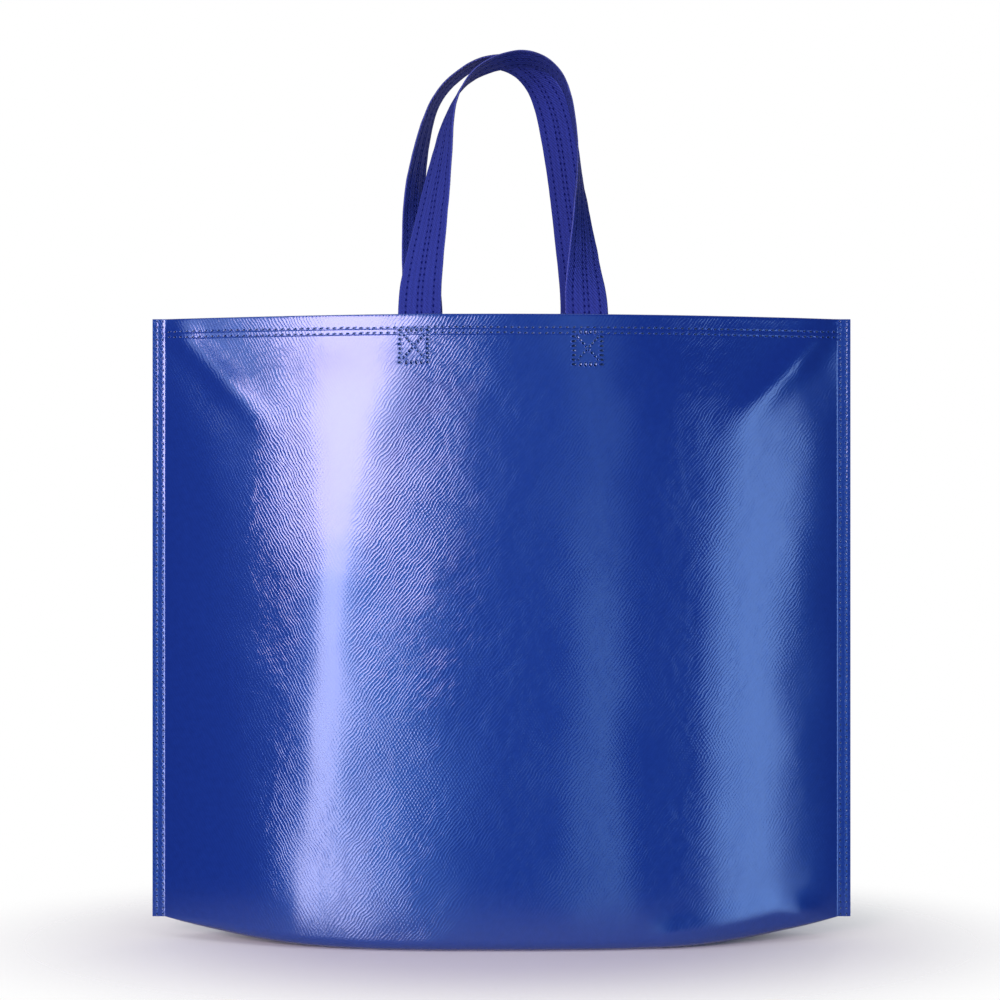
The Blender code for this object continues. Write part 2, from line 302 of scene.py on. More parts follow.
def layWrinkles(mesh, place):
    x, z, front = place[:, 0], place[:, 2], place[:, 1] < 0
    values = wrinkleValues
    split = np.where(front, values["frontSplit"], values["backSplit"])
    reach, size, seed = values["splitWander"]
    half = values["splitHalf"]
    lean = smoothStep(-half, half, (x - split) + reach * softNoise(x, z, size, seed))
    crossed = smoothStep(*values["crossedEdge"], softNoise(x, z, *values["crossed"]))
    crossed = crossed * smoothStep(*values["crossedBelow"], z) * smoothStep(*values["crossedFrom"], x)
    lean = lean + (0.5 - lean) * values["crossedShare"] * crossed
    strength = np.where(front, np.interp(x, values["places"], values["front"]), values["back"])
    patches = sum(share * softNoise(x, z, size, seed) for share, size, seed in values["patches"])
    strength = strength * (values["evenShare"] + patches)
    strength = strength * (1.0 + values["crossedGain"] * crossed)
    core = np.where(front, np.interp(z, values["coreHeights"], values["core"]), values["backCore"])
    calm = np.interp(z, values["calmHeights"], values["calm"])
    strength = strength * (1.0 - values["calmShare"] * np.exp(-((x - core) / calm) ** 2))
    middle, reach, drop = values["handle"]
    pucker = front * np.exp(-((x - middle) / reach) ** 2 - ((z - rimHeight) / drop) ** 2)
    strength = strength + values["handleGain"] * pucker
    layValues(mesh, "lean", lean)
    layValues(mesh, "crush", np.clip(strength, 0.0, values["most"]))


def makeBody(materials):
    flange = bagShape["width"] / 2
    inner = innerHalf * (2.0 * eased(bodyValues["columns"], bodyValues["crowding"]) - 1.0)
    edge = np.array(bodyValues["flangeColumns"])
    places = np.concatenate([edge - flange, inner, (flange - edge)[::-1]])
    first, last = len(edge), len(places) - len(edge) - 1          # the weld lines
    rows = []
    for x in places:
        front = [(-y, z) for y, z in halfProfile(x, -1)]
        back = [(y, z) for y, z in halfProfile(x, 1)]
        rows.append([(x, y, z) for y, z in front + back[-2::-1]])
    outer = np.array(rows)
    normal = gridNormals(outer)
    if normal[len(places) // 2, bodyValues["panelRows"] // 2, 1] > 0:      # the front panel has to face forwards
        normal = -normal
    step = np.linalg.norm(np.diff(outer, axis=1), axis=2)
    travel = np.concatenate([np.zeros((len(places), 1)), np.cumsum(step, axis=1)], axis=1)

    # inner face: two layers down to the hem's foot, then one
    sheet, shut = bagShape["sheet"], bodyValues["shut"]
    count = outer.shape[1]
    middle = count // 2
    hemRow = int(np.argmin(np.abs(outer[len(places) // 2, :middle, 2] - (rimHeight - bagShape["hemDepth"]))))
    order = list(range(0, hemRow + 1)) + list(range(hemRow, count - hemRow)) + list(range(count - 1 - hemRow, count))
    layers = [2] * (hemRow + 1) + [1] * (count - 2 * hemRow) + [2] * (hemRow + 1)
    inwards = normal[first:last + 1][:, order] * (np.array(layers) * sheet)[None, :, None]
    inside = outer[first:last + 1][:, order] - inwards
    frontHalf = np.array(order) <= middle
    signs = np.where(frontHalf, -1.0, 1.0)[None, :]
    inside[:, :, 1] = signs * np.maximum(np.abs(inside[:, :, 1]) * (np.sign(inside[:, :, 1]) == signs), shut)
    inside[[0, -1], :, 1] = signs * shut
    inside[[0, -1], :, 0] = places[[first, last]][:, None]
    floor = np.array([float(baseLine(x)) for x in places[first:last + 1]])
    inside[:, :, 2] = np.maximum(inside[:, :, 2], floor[:, None] + sheet * bodyValues["innerLift"])
    middleColumns = [k for k, row in enumerate(order) if row == middle]
    inside[:, middleColumns, 1] = 0.0

    vertices, cut = [], []

    def store(points, marks):
        ids = np.arange(len(points)) + len(vertices)
        vertices.extend(points)
        cut.extend(marks)
        return ids

    columns = len(places)
    outerCut = np.stack([outer[:, :, 0], travel], -1)
    outerIds = store(outer.reshape(-1, 3).tolist(), outerCut.reshape(-1, 2).tolist()).reshape(columns, count)
    insideCut = np.stack([outer[first:last + 1][:, order, 0], travel[first:last + 1][:, order]], -1)
    insideIds = store(inside.reshape(-1, 3).tolist(), insideCut.reshape(-1, 2).tolist())
    insideIds = insideIds.reshape(last - first + 1, len(order))

    rims, tops = {}, {}
    for side, outerRow, insideRow in ((-1, 0, 0), (1, count - 1, len(order) - 1)):
        topIds = np.zeros(columns, int)
        rimIds = np.zeros((columns, bodyValues["rimSteps"]), int)
        for column in range(columns):
            outerPoint = outer[column, outerRow]
            if first <= column <= last:
                topIds[column] = insideIds[column - first, insideRow]
                innerPoint = inside[column - first, insideRow]
            else:
                innerPoint = np.array((outerPoint[0], side * shut, outerPoint[2]))
                topIds[column] = store([innerPoint.tolist()], [(outerPoint[0], travel[column, outerRow])])[0]
            middlePoint, half = (outerPoint + innerPoint) / 2, (outerPoint - innerPoint) / 2
            arc = []
            for k in range(1, bodyValues["rimSteps"] + 1):
                turn = math.pi * k / (bodyValues["rimSteps"] + 1)
                arc.append((middlePoint + half * math.cos(turn) + np.array((0, 0, sheet * math.sin(turn)))).tolist())
            rimIds[column] = store(arc, [(outerPoint[0], travel[column, outerRow])] * len(arc))
        rims[side], tops[side] = rimIds, topIds

    # grids of points, each with its material: the film outside and over the hem, bare cloth inside
    film, cloth = 0, 1
    frontBand = np.concatenate([outerIds[:, :1], rims[-1], tops[-1][:, None]], 1)
    backBand = np.concatenate([outerIds[:, -1:], rims[1], tops[1][:, None]], 1)
    grids = [(outerIds, film), (frontBand, film), (backBand, film),
             (insideIds[:, :hemRow + 1], film), (insideIds[:, -hemRow - 1:], film),
             (insideIds[:, hemRow:len(order) - hemRow], cloth)]
    for lowest, highest in ((0, first + 1), (last, columns)):
        grids.append((np.stack([tops[-1][lowest:highest], tops[1][lowest:highest]], 1), film))
    corners = []
    for column in (0, columns - 1):                                # ends of the seams
        frontRing = np.concatenate([[tops[-1][column]], rims[-1][column][::-1], outerIds[column, :middle]])
        backRing = np.concatenate([[tops[1][column]], rims[1][column][::-1], outerIds[column, :middle:-1]])
        grids.append((np.stack([frontRing, backRing], 1), film))
        corners.append(outerIds[column, middle - 1:middle + 2].tolist())
    half = len(order) // 2
    for row in (0, -1):                                            # inside of the weld lines
        grids.append((np.stack([insideIds[row, :half], insideIds[row, ::-1][:half]], 1), cloth))
        corners.append(insideIds[row, half - 1:half + 2].tolist())
    faces = [gridQuads(grid) for grid, slot in grids]
    slots = [np.full(len(group), slot) for group, (grid, slot) in zip(faces, grids)]
    slots = np.concatenate(slots + [[film, film, cloth, cloth]])
    mesh = bpy.data.meshes.new("bagShell")
    mesh.from_pydata(vertices, [], np.concatenate(faces).tolist() + corners)
    mesh.polygons.foreach_set("material_index", slots.astype(np.int32))
    closeShape(mesh, "bag shell")
    layCut(mesh, cut)
    layWrinkles(mesh, np.array(vertices))
    mesh.shade_smooth()
    mesh.set_sharp_from_angle(angle=math.radians(bodyValues["sharpAngle"]))
    return newObject("bagShell", mesh, materials)


laminateLook = {
    "deep": "122B79", "light": "17348A",
    "cloud": {"Scale": 260.0, "Detail": 4.0},     # the blue drifts between these two over about 4 mm
    "slants": (30.0, -37.0),      # wrinkles that run down to the right, and down to the left
    # about 1.5 mm apart on the real film, and drawn a little coarser so that they show at this size
    "wrinklePitch": 0.0018, "waveDepth": 0.000078, "crestPower": 2.2,
    "wave": {"Distortion": 8.0, "Detail": 2.0, "Detail Scale": 0.45, "Detail Roughness": 0.6},
    "crinkleDepth": 0.00007, "crinkleWidth": 1.7, "crinkleLength": 0.007,     # width in wrinkles
    "crinkle": {"Scale": 1.0, "Detail": 1.5, "Distortion": 0.3},
    "grain": {"Scale": 1.0 / 0.0010, "Detail": 2.0}, "grainDepth": 0.000010,  # 1 mm grain of the cloth below
    "hemRows": (0.0085, 0.0120), "seamRows": (0.2222, 0.2183), "rowDepth": 0.00009, "rowWidth": 0.0010,
    "flangeCurl": 0.13,
    "shader": {"Roughness": 0.26, "Specular IOR Level": 1.0, "Specular Tint": (0.10, 0.40, 1.0, 1.0),
               "Coat Weight": 1.0, "Coat Roughness": 0.13, "Coat IOR": 1.6},
}
insideLook = {
    "cloth": "1A2F86", "point": "26409E", "turn": 45.0,
    "pointsPerMetre": 700.0, "pointEdge": (0.15, 0.4), "pointDepth": 0.00012, "strength": 0.8,
    "shader": {"Roughness": 0.75},
}
tapeLook = {
    "deep": "1D2A82", "light": "2D3E9C",
    "mottle": {"Scale": 900.0, "Detail": 3.0},    # about 1 mm across
    "ribPitch": 0.0015, "ribTurn": 35.0, "rib": {"Distortion": 2.0, "Detail Scale": 0.5},
    "fibre": {"Scale": 1500.0, "Detail": 3.0}, "fibreShare": 0.6, "depth": 0.00032,      # tufts of about 0.7 mm
    # painted shade on the pressed rows, partly the darker bonded cloth, and a painted highlight on the edges
    "paintedLight": (("pressed", 0.45, "10185A"), ("edgeHighlight", 0.55, "6E78C4")),      # attribute, share, colour
    "shader": {"Roughness": 0.8, "Specular IOR Level": 0.3},
}
filmMarkLook = {
    # the lip is a lighter blue than the film, a painted highlight; the dark middle is painted shade in the pit
    "lip": "2C54BC", "middle": "060F3C",
    "shader": {"Roughness": 0.20, "Specular IOR Level": 1.0, "Specular Tint": (0.10, 0.40, 1.0, 1.0),
               "Coat Weight": 0.7, "Coat Roughness": 0.12, "Coat IOR": 1.6},
}
tapeMarkLook = {
    # the dark middle is painted shade in the pressed dot
    "lip": "2C3A9C", "middle": "0D1450",
    "shader": {"Roughness": 0.7, "Specular IOR Level": 0.0},
}


def newMaterial(name, look):
    material = bpy.data.materials.new(name)
    material.use_nodes = True
    tree = material.node_tree
    shader = tree.nodes["Principled BSDF"]
    for key, value in look["shader"].items():
        shader.inputs[key].default_value = value
    return material, tree, shader


def waveScale(pitch):
    # the Wave texture repeats every 20 / (2 pi) at scale 1
    return 2.0 * math.pi / 20.0 / pitch


def makeLaminate():
    # Glossy film on spunbond polypropylene: deep clear blue, sharp bands of light, fine slanted wrinkles
    look = laminateLook
    material, tree, shader = newMaterial("laminatedNonWoven", look)
    cut = addNode(tree, "ShaderNodeUVMap", uv_map="cut")["UV"]
    crush = addNode(tree, "ShaderNodeAttribute", attribute_name="crush")["Fac"]
    lean = addNode(tree, "ShaderNodeAttribute", attribute_name="lean")["Fac"]
    slants = []
    for degrees in look["slants"]:
        turn = (0.0, 0.0, math.radians(degrees))
        turned = addNode(tree, "ShaderNodeMapping", {"Vector": cut, "Rotation": turn})[0]
        wave = {"Vector": turned, "Scale": waveScale(look["wrinklePitch"]), **look["wave"]}
        wave = addNode(tree, "ShaderNodeTexWave", wave, bands_direction='X')["Fac"]
        wave = addNode(tree, "ShaderNodeMath", (wave, look["crestPower"]), operation='POWER')[0]
        wave = addNode(tree, "ShaderNodeMath", (wave, look["waveDepth"]), operation='MULTIPLY')[0]
        drawn = (look["crinkleWidth"] / look["wrinklePitch"], 1.0 / look["crinkleLength"], 1.0)
        drawn = addNode(tree, "ShaderNodeMapping", {"Vector": turned, "Scale": drawn})[0]
        crinkle = addNode(tree, "ShaderNodeTexNoise", {"Vector": drawn, **look["crinkle"]})["Fac"]
        slants.append(addNode(tree, "ShaderNodeMath", (crinkle, look["crinkleDepth"], wave),
                              operation='MULTIPLY_ADD')[0])
    wrinkle = addNode(tree, "ShaderNodeMix", {0: lean, 2: slants[0], 3: slants[1]}, data_type='FLOAT')[0]
    wrinkle = addNode(tree, "ShaderNodeMath", (wrinkle, crush), operation='MULTIPLY')[0]
    grain = addNode(tree, "ShaderNodeTexNoise", {"Vector": cut, **look["grain"]})["Fac"]
    layers = [(grain, look["grainDepth"])]
    # the welding wheel leaves a shallow valley under each row of marks
    parts = addNode(tree, "ShaderNodeSeparateXYZ", (cut,))
    sideways = addNode(tree, "ShaderNodeMath", (parts["X"],), operation='ABSOLUTE')[0]
    rows = [(parts["Y"], place) for place in look["hemRows"]] + [(sideways, place) for place in look["seamRows"]]
    for source, place in rows:
        away = addNode(tree, "ShaderNodeMath", (source, place), operation='SUBTRACT')[0]
        away = addNode(tree, "ShaderNodeMath", (away,), operation='ABSOLUTE')[0]
        reach = {"Value": away, "From Min": 0.0, "From Max": look["rowWidth"], "To Min": -1.0, "To Max": 0.0}
        valley = addNode(tree, "ShaderNodeMapRange", reach, interpolation_type='SMOOTHSTEP')[0]
        layers.append((valley, look["rowDepth"]))
    # the flanges outside the weld lines curl forward a little
    curl = addNode(tree, "ShaderNodeMath", (sideways, innerHalf), operation='SUBTRACT')[0]
    curl = addNode(tree, "ShaderNodeMath", (curl, 0.0), operation='MAXIMUM')[0]
    height = wrinkle
    for layer, depth in layers + [(curl, look["flangeCurl"])]:
        height = addNode(tree, "ShaderNodeMath", (layer, depth, height), operation='MULTIPLY_ADD')[0]
    bump = addNode(tree, "ShaderNodeBump", {"Strength": 1.0, "Distance": 1.0, "Height": height})[0]
    cloud = addNode(tree, "ShaderNodeTexNoise", {"Vector": cut, **look["cloud"]})["Fac"]
    colour = addNode(tree, "ShaderNodeMix", {0: cloud, 6: linearColour(look["deep"]), 7: linearColour(look["light"])},
                     data_type='RGBA')[2]
    tree.links.new(colour, shader.inputs["Base Color"])
    tree.links.new(bump, shader.inputs["Normal"])
    tree.links.new(bump, shader.inputs["Coat Normal"])
    return material


def makeInnerCloth():
    # Bare spunbond on the inside: matte, with rows of bonded points, about 1 mm apart and drawn a little coarser
    look = insideLook
    material, tree, shader = newMaterial("spunbondInside", look)
    cut = addNode(tree, "ShaderNodeUVMap", uv_map="cut")["UV"]
    turn = (0.0, 0.0, math.radians(look["turn"]))
    turned = addNode(tree, "ShaderNodeMapping", {"Vector": cut, "Rotation": turn})[0]
    points = {"Vector": turned, "Scale": look["pointsPerMetre"], "Randomness": 0.0}
    points = addNode(tree, "ShaderNodeTexVoronoi", points, feature='F1')["Distance"]
    low, high = look["pointEdge"]
    dots = addNode(tree, "ShaderNodeMapRange", {"Value": points, "From Min": low, "From Max": high})[0]
    colour = addNode(tree, "ShaderNodeMix", {0: dots, 6: linearColour(look["cloth"]), 7: linearColour(look["point"])},
                     data_type='RGBA')[2]
    bump = {"Strength": look["strength"], "Distance": look["pointDepth"], "Height": dots}
    bump = addNode(tree, "ShaderNodeBump", bump)[0]
    tree.links.new(colour, shader.inputs["Base Color"])
    tree.links.new(bump, shader.inputs["Normal"])
    return material


def makeStrapCloth():
    # Folded spunbond tape: matte blue violet, fine slanted ribs, painted shade along the pressed rows, partly the
    # darker bonded cloth, and a painted highlight along the edges
    look = tapeLook
    material, tree, shader = newMaterial("spunbondTape", look)
    cut = addNode(tree, "ShaderNodeUVMap", uv_map="cut")["UV"]
    turn = (0.0, 0.0, math.radians(look["ribTurn"]))
    turned = addNode(tree, "ShaderNodeMapping", {"Vector": cut, "Rotation": turn})[0]
    rib = {"Vector": turned, "Scale": waveScale(look["ribPitch"]), **look["rib"]}
    rib = addNode(tree, "ShaderNodeTexWave", rib, bands_direction='X')["Fac"]
    fibre = addNode(tree, "ShaderNodeTexNoise", {"Vector": cut, **look["fibre"]})["Fac"]
    height = addNode(tree, "ShaderNodeMath", (fibre, look["fibreShare"], rib), operation='MULTIPLY_ADD')[0]
    bump = addNode(tree, "ShaderNodeBump", {"Strength": 1.0, "Distance": look["depth"], "Height": height})[0]
    mottle = addNode(tree, "ShaderNodeTexNoise", {"Vector": cut, **look["mottle"]})["Fac"]
    colour = addNode(tree, "ShaderNodeMix", {0: mottle, 6: linearColour(look["deep"]), 7: linearColour(look["light"])},
                     data_type='RGBA')[2]
    # mixes in the painted shade of the pressed rows and the painted highlight of the edges
    for label, share, tint in look["paintedLight"]:
        amount = addNode(tree, "ShaderNodeAttribute", attribute_name=label)["Fac"]
        amount = addNode(tree, "ShaderNodeMath", (amount, share), operation='MULTIPLY')[0]
        colour = addNode(tree, "ShaderNodeMix", {0: amount, 6: colour, 7: linearColour(tint)}, data_type='RGBA')[2]
    tree.links.new(bump, shader.inputs["Normal"])
    tree.links.new(colour, shader.inputs["Base Color"])
    return material


def makeFused(name, look):
    # Polypropylene melted by the welding tool: a smooth lip round a sunk middle, coloured dark as painted shade in the
    # pit; on the film the lip is a lighter blue as a painted highlight, and it glints
    material, tree, shader = newMaterial(name, look)
    sunk = addNode(tree, "ShaderNodeAttribute", attribute_name="sunk")["Fac"]
    colour = addNode(tree, "ShaderNodeMix", {0: sunk, 6: linearColour(look["lip"]), 7: linearColour(look["middle"])},
                     data_type='RGBA')[2]
    tree.links.new(colour, shader.inputs["Base Color"])
    return material


laminate = makeLaminate()
innerCloth = makeInnerCloth()
strapCloth = makeStrapCloth()
fusedFilm = makeFused("fusedFilm", filmMarkLook)
fusedTape = makeFused("fusedTape", tapeMarkLook)
print("materials made")

bagShell = makeBody([laminate, innerCloth])


strapValues = {
    "width": 0.027,
    "thickness": 0.0011,
    "tail": 0.035,                # inside the hem
    "legSpacing": 0.105,
    "rise": 0.165,                # top of the loops over the rim
    "clearance": 0.001,           # between the two straps where they meet
    "touchGap": 0.0003,           # between a tail and the hem
    "shift": {"front": 0.001, "back": 0.0},       # of a whole strap to the right
    "rowsPerStation": 11,
    "strips": 54,
    "evening": 0.9,               # how far the bends are evened out, in stations, and where that starts
    "eveningGrows": (2.0, 5.0),
    "weldRows": (-0.0086, -0.0014, 0.0014, 0.0086),
    "softRows": (-0.0110, -0.0050, 0.0050, 0.0110),         # faint grooves between the welded ones
    "weldRowHalf": 0.0008, "softRowHalf": 0.0009, "softRowShare": 0.5,
    "puff": 1.15, "pressed": 0.50,                # thickness between the rows, and what a row takes off it
    "edgePower": 30,              # squareness of the strap's edges
    "ripples": ((0.00022, 0.0085, 1.0, 31), (0.00010, 0.0040, 2.0, 41)),     # rise, size, squeeze across, seed
    # the painted highlight along the tape's edges, in half widths
    "highlightReach": (0.955, 1.0),   # in half widths
    "underside": 0.05,            # where the lower face lies on the cut cloth, beside the upper one
}

# Route of each strap: across in half leg spacings, lean to the middle plane, height in rises, turn in degrees
frontRoute = [
    (-0.990, 0.02, 0.084, 8.0), (-0.969, 0.05, 0.154, 20.0), (-0.872, 0.22, 0.349, 38.0), (-0.777, 0.48, 0.535, 52.0),
    (-0.698, 0.74, 0.713, 67.0), (-0.612, 0.88, 0.838, 83.0), (-0.402, 1.00, 0.940, 88.0), (-0.128, 1.00, 0.980, 98.5),
    (0.194, 1.00, 1.006, 102.0), (0.420, 1.00, 0.998, 99.0), (0.652, 1.00, 0.954, 94.0), (0.822, 0.97, 0.866, 92.0),
    (0.909, 0.74, 0.648, 90.0), (0.925, 0.52, 0.493, 78.0), (0.954, 0.34, 0.360, 61.0), (0.968, 0.14, 0.176, 36.0),
    (0.985, 0.04, 0.090, 16.0),
]
backRoute = [
    (-1.005, 0.04, 0.090, 10.0), (-1.020, 0.13, 0.196, 28.0), (-1.092, 0.30, 0.381, 52.0), (-1.092, 0.48, 0.513, 63.0),
    (-1.045, 0.61, 0.623, 70.0), (-0.907, 0.83, 0.827, 81.0), (-0.743, 0.96, 0.922, 86.0), (-0.390, 1.00, 1.010, 89.0),
    (-0.190, 1.00, 1.028, 89.0), (0.020, 1.00, 1.023, 79.0), (0.204, 1.00, 1.014, 72.0), (0.435, 1.00, 0.962, 55.0),
    (0.605, 0.95, 0.876, 37.0), (0.709, 0.88, 0.759, 30.0), (0.803, 0.60, 0.551, 37.0), (0.881, 0.36, 0.372, 30.0),
    (0.973, 0.15, 0.200, 13.0), (1.000, 0.05, 0.090, 4.0),
]
shares = np.linspace(-0.5, 0.5, strapValues["strips"] + 1)


def seatRow(middle, z, side):
    x = middle + strapValues["width"] * shares
    panel = np.minimum(panelDepth(x, rimHeight, side), panelDepth(x, z, side))
    depth = panel - 2 * bagShape["sheet"] - strapValues["touchGap"] - strapValues["thickness"] / 2
    return np.stack([x, side * depth, np.full(x.shape, z)], 1)


def strapGrid(route, side, offset):
    # middle face of a strap as a grid of points: along, then across from the loop's inner edge to its outer edge
    half = strapValues["legSpacing"] / 2
    tails = [rimHeight - strapValues["tail"], rimHeight - strapValues["tail"] / 2, rimHeight]
    rimDepth = abs(float(panelDepth(half, rimHeight, side)) - 2 * bagShape["sheet"] - strapValues["touchGap"]
                   - strapValues["thickness"] / 2)
    gap = (strapValues["width"] + strapValues["clearance"]) / 2
    centres = []
    for a, lean, h, turn in route:
        depth = side * (rimDepth + (gap - rimDepth) * lean)
        centres.append(np.array((offset + a * half, depth, rimHeight + h * strapValues["rise"])))
    rows = [seatRow(offset - half, z, side)[::-1] for z in tails]
    for index, station in enumerate(route):
        run = centres[min(len(centres) - 1, index + 1)] - centres[max(0, index - 1)]
        outwards = np.array((-run[2], 0.0, run[0]))
        outwards /= np.linalg.norm(outwards)
        turn = math.radians(station[3])
        across = outwards * math.cos(turn) - np.array((0.0, side, 0.0)) * math.sin(turn)
        rows.append(centres[index] + across * (strapValues["width"] * shares)[:, None])
    rows += [seatRow(offset + half, z, side) for z in reversed(tails)]
    rows = np.array(rows)
    last = len(rows) - 1
    fine = []                     # a smooth curve through the stations
    for index in range(last):
        a, b, c, d = rows[max(0, index - 1)], rows[index], rows[index + 1], rows[min(last, index + 2)]
        for step in range(strapValues["rowsPerStation"]):
            t = step / strapValues["rowsPerStation"]
            bend, twist = 2 * a - 5 * b + 4 * c - d, 3 * b - a - 3 * c + d
            fine.append(0.5 * (2 * b + (c - a) * t + bend * t * t + twist * t ** 3))
    fine.append(rows[last])
    fine = np.array(fine)
    # evens the bends out between the tails, which stay where they are welded
    reach = strapValues["rowsPerStation"]
    weights = np.exp(-(np.arange(-2 * reach, 2 * reach + 1) / (strapValues["evening"] * reach)) ** 2)
    padded = np.concatenate([fine[:1].repeat(2 * reach, 0), fine, fine[-1:].repeat(2 * reach, 0)])
    smooth = sum(w * padded[k:k + len(fine)] for k, w in enumerate(weights)) / weights.sum()
    place = np.minimum(np.arange(len(fine)), np.arange(len(fine))[::-1]) / reach
    share = smoothStep(*strapValues["eveningGrows"], place)[:, None, None]
    return fine * (1.0 - share) + smooth * share


def strapRelief(across, rows, half):
    return sum(np.exp(-((across - row) / half) ** 2) for row in rows)


def makeStrap(name, route, side, offset, material):
    grid = strapGrid(route, side, offset)
    normal = gridNormals(grid)
    length = np.concatenate([[0.0], np.cumsum(np.linalg.norm(np.diff(grid[:, len(shares) // 2], axis=0), axis=1))])
    across = shares * strapValues["width"]
    u, v = np.broadcast_arrays(across[None, :], length[:, None])
    # the tape is pressed thin along its welded rows and puffs between them
    groove = strapRelief(across, strapValues["weldRows"], strapValues["weldRowHalf"])
    soft = strapRelief(across, strapValues["softRows"], strapValues["softRowHalf"])
    groove = groove + strapValues["softRowShare"] * soft
    edge = np.sqrt(np.clip(1.0 - np.abs(2 * shares) ** strapValues["edgePower"], 0.0, 1.0))
    half = strapValues["thickness"] / 2 * edge * (strapValues["puff"] - strapValues["pressed"] * groove)
    ripple = sum(rise * softNoise(u * squeeze, v, size, seed + side)
                 for rise, size, squeeze, seed in strapValues["ripples"])
    middle = grid + normal * ripple[:, :, None]
    upper = middle + normal * half[None, :, None]
    lower = middle - normal * half[None, :, None]
    rows, strips = grid.shape[0], grid.shape[1]
    ring = np.concatenate([upper, lower[:, -2:0:-1]], 1)
    ringU = np.concatenate([across, across[-2:0:-1] + strapValues["underside"]])
    count = ring.shape[1]
    ids = np.arange(rows * count).reshape(rows, count)
    closed = np.concatenate([ids, ids[:, :1]], 1)
    quads = gridQuads(closed).tolist()
    for row in (0, rows - 1):
        top = ids[row, :strips]
        bottom = np.concatenate([[ids[row, 0]], ids[row, :strips - 1:-1], [ids[row, strips - 1]]])
        for k in range(strips - 1):
            quads.append(list(dict.fromkeys(int(i) for i in (top[k], top[k + 1], bottom[k + 1], bottom[k]))))
    mesh = bpy.data.meshes.new(name)
    mesh.from_pydata(ring.reshape(-1, 3).tolist(), [], quads)
    closeShape(mesh, name)
    layCut(mesh, np.stack(np.broadcast_arrays(ringU[None, :], length[:, None]), -1).reshape(-1, 2))
    # painted shade darkens the pressed rows, partly the darker bonded cloth; a painted highlight makes the edges pale
    ringShares = np.concatenate([shares, shares[-2:0:-1]])
    pressed = np.clip(np.concatenate([groove, groove[-2:0:-1]]), 0.0, 1.0)
    edgeHighlight = smoothStep(*strapValues["highlightReach"], np.abs(2 * ringShares))
    for label, values in (("pressed", pressed), ("edgeHighlight", edgeHighlight)):
        layValues(mesh, label, np.tile(values, rows))
    mesh.shade_smooth()
    return newObject(name, mesh, [material]), grid, normal


shift = strapValues["shift"]
frontStrap, frontGrid, frontNormal = makeStrap("frontStrap", frontRoute, -1, shift["front"], strapCloth)
backStrap, backGrid, backNormal = makeStrap("backStrap", backRoute, 1, shift["back"], strapCloth)
print("straps made")


markShape = {
    "profile": ((0.50, -0.30), (0.45, 0.80), (0.39, 1.0), (0.24, 0.55), (0.05, 0.0)),     # radius, height
    "long": (10, 0.40), "dot": (7, 0.42),         # sides, and how far out the dark middle reaches
    "darkEdge": 0.06,
    "lengths": (0.78, 1.15), "lengthSeed": 7,     # marks differ in length between these shares
}


def makeMarkTree():
    # Lays small pressed marks along paths and seats each on the nearest surface
    tree = bpy.data.node_groups.new("weldMarks", "GeometryNodeTree")
    ports = tree.interface
    ports.new_socket("Paths", in_out='INPUT', socket_type='NodeSocketGeometry')
    kinds = {"Surface": 'Object', "Mark": 'Object', "Pitch": 'Float', "Length": 'Float', "Breadth": 'Float',
             "Height": 'Float', "Wander": 'Float', "Seed": 'Int', "Finish": 'Material'}
    for name, kind in kinds.items():
        ports.new_socket(name, in_out='INPUT', socket_type="NodeSocket" + kind)
    ports.new_socket("Marks", in_out='OUTPUT', socket_type='NodeSocketGeometry')
    given = addNode(tree, "NodeGroupInput")
    curve = addNode(tree, "GeometryNodeMeshToCurve", {"Mesh": given["Paths"]})[0]
    spaced = addNode(tree, "GeometryNodeResampleCurve", {"Curve": curve, "Length": given["Pitch"]}, mode='LENGTH')[0]
    surface = addNode(tree, "GeometryNodeObjectInfo", {"Object": given["Surface"]})["Geometry"]
    nearest = addNode(tree, "GeometryNodeProximity", (surface,), target_element='FACES')["Position"]
    facing = addNode(tree, "GeometryNodeInputNormal")[0]
    normal = addNode(tree, "GeometryNodeSampleNearestSurface", {"Mesh": surface, "Value": facing},
                     data_type='FLOAT_VECTOR')[0]
    tangent = addNode(tree, "GeometryNodeInputTangent")[0]
    turn = addNode(tree, "GeometryNodeInputNamedAttribute", {"Name": "turn"}, data_type='FLOAT')[0]
    less = addNode(tree, "ShaderNodeMath", (given["Wander"], -1.0), operation='MULTIPLY')[0]
    stray = addNode(tree, "FunctionNodeRandomValue", {2: less, 3: given["Wander"], "Seed": given["Seed"]},
                    data_type='FLOAT')[1]
    angle = addNode(tree, "ShaderNodeMath", (turn, stray), operation='ADD')[0]
    aligned = addNode(tree, "FunctionNodeAxesToRotation", (normal, tangent), primary_axis='Z', secondary_axis='X')[0]
    spin = addNode(tree, "FunctionNodeAxisAngleToRotation", {"Axis": (0.0, 0.0, 1.0), "Angle": angle})[0]
    rotation = addNode(tree, "FunctionNodeRotateRotation", (aligned, spin), rotation_space='LOCAL')[0]
    least, most = markShape["lengths"]
    grow = addNode(tree, "FunctionNodeRandomValue", {2: least, 3: most, "Seed": markShape["lengthSeed"]},
                   data_type='FLOAT')[1]
    longer = addNode(tree, "ShaderNodeMath", (given["Length"], grow), operation='MULTIPLY')[0]
    size = addNode(tree, "ShaderNodeCombineXYZ", (longer, given["Breadth"], given["Height"]))[0]
    seated = addNode(tree, "GeometryNodeSetPosition", {"Geometry": spaced, "Position": nearest})[0]
    mark = addNode(tree, "GeometryNodeObjectInfo", {"Object": given["Mark"]})["Geometry"]
    placed = {"Points": seated, "Instance": mark, "Rotation": rotation, "Scale": size}
    placed = addNode(tree, "GeometryNodeInstanceOnPoints", placed)[0]
    real = addNode(tree, "GeometryNodeRealizeInstances", (placed,))[0]
    finished = addNode(tree, "GeometryNodeSetMaterial", {"Geometry": real, "Material": given["Finish"]})[0]
    addNode(tree, "NodeGroupOutput", {"Marks": finished})
    return tree


